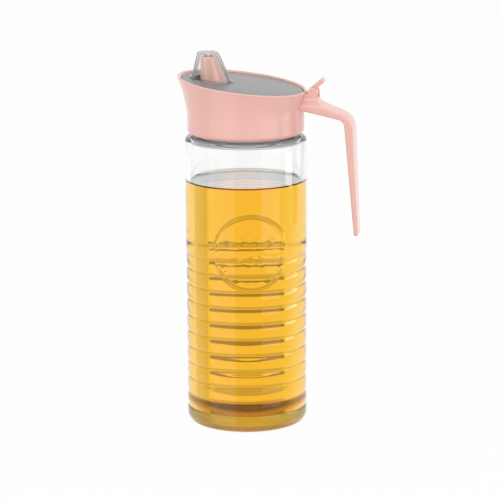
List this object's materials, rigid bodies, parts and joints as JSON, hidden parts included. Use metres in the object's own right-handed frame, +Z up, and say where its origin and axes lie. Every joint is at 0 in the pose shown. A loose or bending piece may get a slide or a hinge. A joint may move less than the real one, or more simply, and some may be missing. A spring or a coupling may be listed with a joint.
{
  "type": "oil cruet",
  "caption": "Ribbed glass oil cruet with a screw-on pouring closure: flared collar with side handle, nozzle, and a hinged lid with a clear hood lifted by a thumb tab.",
  "frame": {"origin": "centre of the bottle's foot, on the surface it stands on", "axes": "+Z up along the bottle's axis, +X towards the handle, -X towards the pouring side"},
  "size_m": [0.1285, 0.0916, 0.2656],
  "materials": {
    "clear_glass": "clear moulded glass, polished",
    "golden_oil": "clear golden liquid with a still surface",
    "seal_rubber": "soft translucent silicone",
    "pink_plastic": "glossy moulded plastic, pale pink",
    "pin_steel": "plain drawn pin",
    "grey_plastic": "polished mid grey plastic",
    "clear_plastic": "clear moulded plastic, polished"
  },
  "bodies": {
    "bottle": {"glass_bottle": "clear_glass", "oil_fill": "golden_oil"},
    "seal": {"neck_seal": "seal_rubber"},
    "closure": {"collar": "pink_plastic", "inner_cap": "pink_plastic", "handle": "pink_plastic", "hinge_pin": "pin_steel"},
    "lid": {"lid_plate": "grey_plastic", "spout_hood": "clear_plastic", "lever": "pink_plastic"}
  },
  "joints": [
    {"name": "thread_rise", "type": "slide", "parent": "bottle", "child": "seal", "axis": [0, 0, 1], "range_m": [0, 0.012]},
    {"name": "collar_turn", "type": "hinge", "parent": "seal", "child": "closure", "pos_m": [0, 0, 0.2225], "axis": [0, 0, 1], "range_deg": [0, 720]},
    {"name": "lid_hinge", "type": "hinge", "parent": "closure", "child": "lid", "pos_m": [0.04841, 0, 0.23877], "axis": [0, 1, 0], "range_deg": [0, 80]}
  ],
  "couplings": [
    {"joint": "thread_rise", "follows": "collar_turn", "m_per_rad": 0.00095493}
  ]
}
